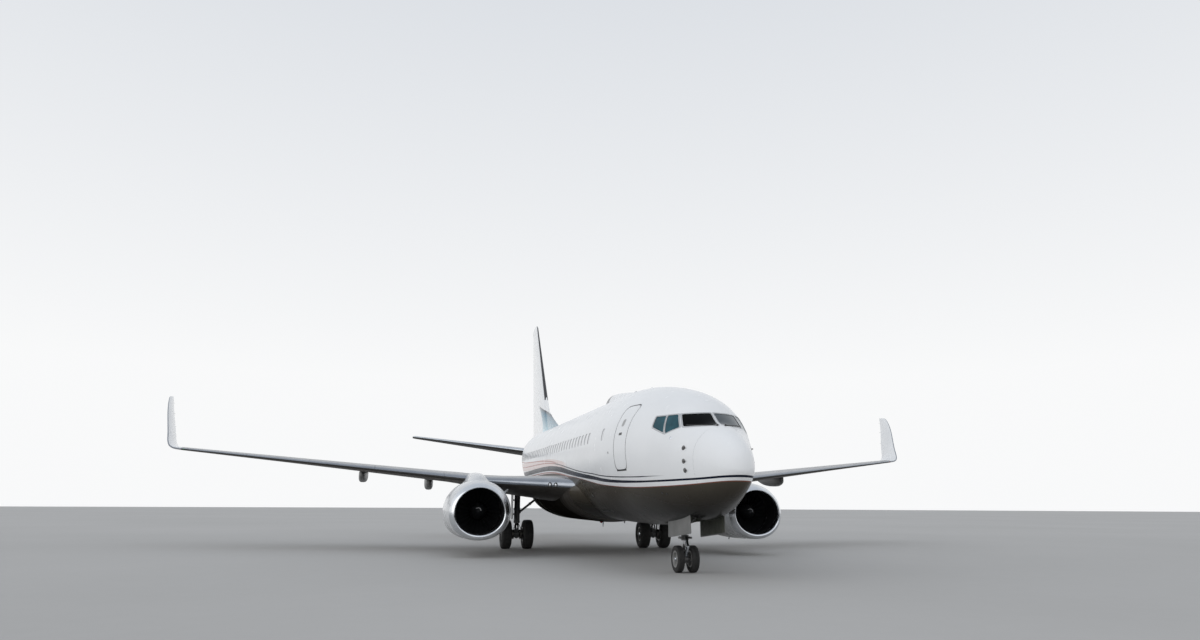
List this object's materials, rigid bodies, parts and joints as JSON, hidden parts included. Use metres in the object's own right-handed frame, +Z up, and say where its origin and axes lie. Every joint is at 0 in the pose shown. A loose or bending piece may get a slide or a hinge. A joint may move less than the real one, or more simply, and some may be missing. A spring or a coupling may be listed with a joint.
{
  "type": "airliner",
  "caption": "Short-bodied airliner with engines under a low wing and blended winglets, parked, with turning wheels and fans, steering, control surfaces and wing exits.",
  "frame": {"origin": "on the ground, midway between the nose tip and the tailplane's aft tips, on the centre line", "axes": "+Z up, +Y aft, so the nose points along -Y, and +X to the aircraft's left wing"},
  "size_m": [35.7944, 33.63, 12.57],
  "materials": {
    "white_paint": "gloss white paint",
    "belly_grey": "satin dark grey paint",
    "wing_grey": "satin light grey paint",
    "bare_metal": "polished bare metal",
    "dark_metal": "heat-stained metal",
    "fan_metal": "dark satin metal",
    "gear_paint": "satin light grey paint",
    "tyre_rubber": "matt black rubber",
    "cockpit_glass": "tinted coated glass"
  },
  "bodies": {
    "airframe": {"radome": "white_paint", "fuselage": "white_paint", "fin": "white_paint", "passenger_door_forward": "white_paint", "passenger_door_aft": "white_paint", "service_door_forward": "white_paint", "service_door_aft": "white_paint", "cargo_door_forward": "white_paint", "cargo_door_aft": "white_paint", "wing_body_fairing": "belly_grey", "winglet_left": "white_paint", "pylon_left": "white_paint", "fan_cowl_left": "white_paint", "nose_gear_door_left": "white_paint", "wing_left": "wing_grey", "flap_inboard_left": "wing_grey", "flap_outboard_left": "wing_grey", "tailplane_left": "wing_grey", "inlet_cowl_left": "bare_metal", "engine_core_left": "dark_metal", "main_gear_leg_left": "gear_paint", "windscreen_left": "cockpit_glass", "cockpit_side_window_left": "cockpit_glass", "winglet_right": "white_paint", "pylon_right": "white_paint", "fan_cowl_right": "white_paint", "nose_gear_door_right": "white_paint", "wing_right": "wing_grey", "flap_inboard_right": "wing_grey", "flap_outboard_right": "wing_grey", "tailplane_right": "wing_grey", "inlet_cowl_right": "bare_metal", "engine_core_right": "dark_metal", "main_gear_leg_right": "gear_paint", "windscreen_right": "cockpit_glass", "cockpit_side_window_right": "cockpit_glass", "nose_gear_leg": "gear_paint"},
    "rudder": {"rudder": "white_paint"},
    "elevator_left": {"elevator_left": "wing_grey"},
    "elevator_right": {"elevator_right": "wing_grey"},
    "aileron_left": {"aileron_left": "wing_grey"},
    "aileron_right": {"aileron_right": "wing_grey"},
    "spoilers_left": {"spoilers_left": "wing_grey"},
    "spoilers_right": {"spoilers_right": "wing_grey"},
    "overwing_exit_left": {"overwing_exit_left": "white_paint"},
    "overwing_exit_right": {"overwing_exit_right": "white_paint"},
    "fan_left": {"fan_left": "fan_metal"},
    "fan_right": {"fan_right": "fan_metal"},
    "nose_steering": {"nose_gear_steering": "bare_metal"},
    "nose_wheels": {"nose_wheel_rims": "gear_paint", "nose_tyre_left": "tyre_rubber", "nose_tyre_right": "tyre_rubber"},
    "main_wheels_left": {"main_wheel_rims_left": "gear_paint", "main_tyre_inner_left": "tyre_rubber", "main_tyre_outer_left": "tyre_rubber"},
    "main_wheels_right": {"main_wheel_rims_right": "gear_paint", "main_tyre_inner_right": "tyre_rubber", "main_tyre_outer_right": "tyre_rubber"}
  },
  "joints": [
    {"name": "nose_steering", "type": "hinge", "parent": "airframe", "child": "nose_steering", "pos_m": [0, -12.805, 0.9], "axis": [0, 0, 1], "range_deg": [-78, 78]},
    {"name": "nose_wheels_spin", "type": "hinge", "parent": "nose_steering", "child": "nose_wheels", "pos_m": [0, -12.805, 0.343], "axis": [1, 0, 0], "continuous": true},
    {"name": "main_wheels_left_spin", "type": "hinge", "parent": "airframe", "child": "main_wheels_left", "pos_m": [2.86, -0.205, 0.565], "axis": [1, 0, 0], "continuous": true},
    {"name": "main_wheels_right_spin", "type": "hinge", "parent": "airframe", "child": "main_wheels_right", "pos_m": [-2.86, -0.205, 0.565], "axis": [1, 0, 0], "continuous": true},
    {"name": "fan_left_spin", "type": "hinge", "parent": "airframe", "child": "fan_left", "pos_m": [4.85, -5.415, 1.5], "axis": [0, 1, 0], "continuous": true},
    {"name": "fan_right_spin", "type": "hinge", "parent": "airframe", "child": "fan_right", "pos_m": [-4.85, -5.415, 1.5], "axis": [0, 1, 0], "continuous": true},
    {"name": "rudder_hinge", "type": "hinge", "parent": "airframe", "child": "rudder", "pos_m": [0, 13.43847, 5.6], "axis": [0, 0.3514, 0.9362], "range_deg": [-27, 27]},
    {"name": "elevator_left_hinge", "type": "hinge", "parent": "airframe", "child": "elevator_left", "pos_m": [1.5, 14.03549, 4.75488], "axis": [0.9187, 0.369, 0.1405], "range_deg": [-20, 20]},
    {"name": "elevator_right_hinge", "type": "hinge", "parent": "airframe", "child": "elevator_right", "pos_m": [-1.5, 14.03549, 4.75488], "axis": [0.9187, -0.369, -0.1405], "range_deg": [-20, 20]},
    {"name": "aileron_left_hinge", "type": "hinge", "parent": "airframe", "child": "aileron_left", "pos_m": [12.65, 3.21538, 3.57325], "axis": [0.9288, 0.3566, 0.1009], "range_deg": [-20, 20]},
    {"name": "aileron_right_hinge", "type": "hinge", "parent": "airframe", "child": "aileron_right", "pos_m": [-12.65, 3.21538, 3.57325], "axis": [0.9288, -0.3566, -0.1009], "range_deg": [-20, 20]},
    {"name": "spoilers_left_hinge", "type": "hinge", "parent": "airframe", "child": "spoilers_left", "pos_m": [6.3, 0.205, 3.01365], "axis": [0.9305, 0.3539, 0.0945], "range_deg": [0, 38]},
    {"name": "spoilers_right_hinge", "type": "hinge", "parent": "airframe", "child": "spoilers_right", "pos_m": [-6.3, 0.205, 3.01365], "axis": [0.9305, -0.3539, -0.0945], "range_deg": [0, 38]},
    {"name": "overwing_exit_left_hinge", "type": "hinge", "parent": "airframe", "child": "overwing_exit_left", "pos_m": [1.79, -1.56, 4.02], "axis": [0, -1, 0], "range_deg": [0, 95]},
    {"name": "overwing_exit_right_hinge", "type": "hinge", "parent": "airframe", "child": "overwing_exit_right", "pos_m": [-1.79, -1.56, 4.02], "axis": [0, 1, 0], "range_deg": [0, 95]}
  ],
  "couplings": [
    {"joint": "elevator_right_hinge", "follows": "elevator_left_hinge", "ratio": 1},
    {"joint": "aileron_right_hinge", "follows": "aileron_left_hinge", "ratio": -1}
  ]
}
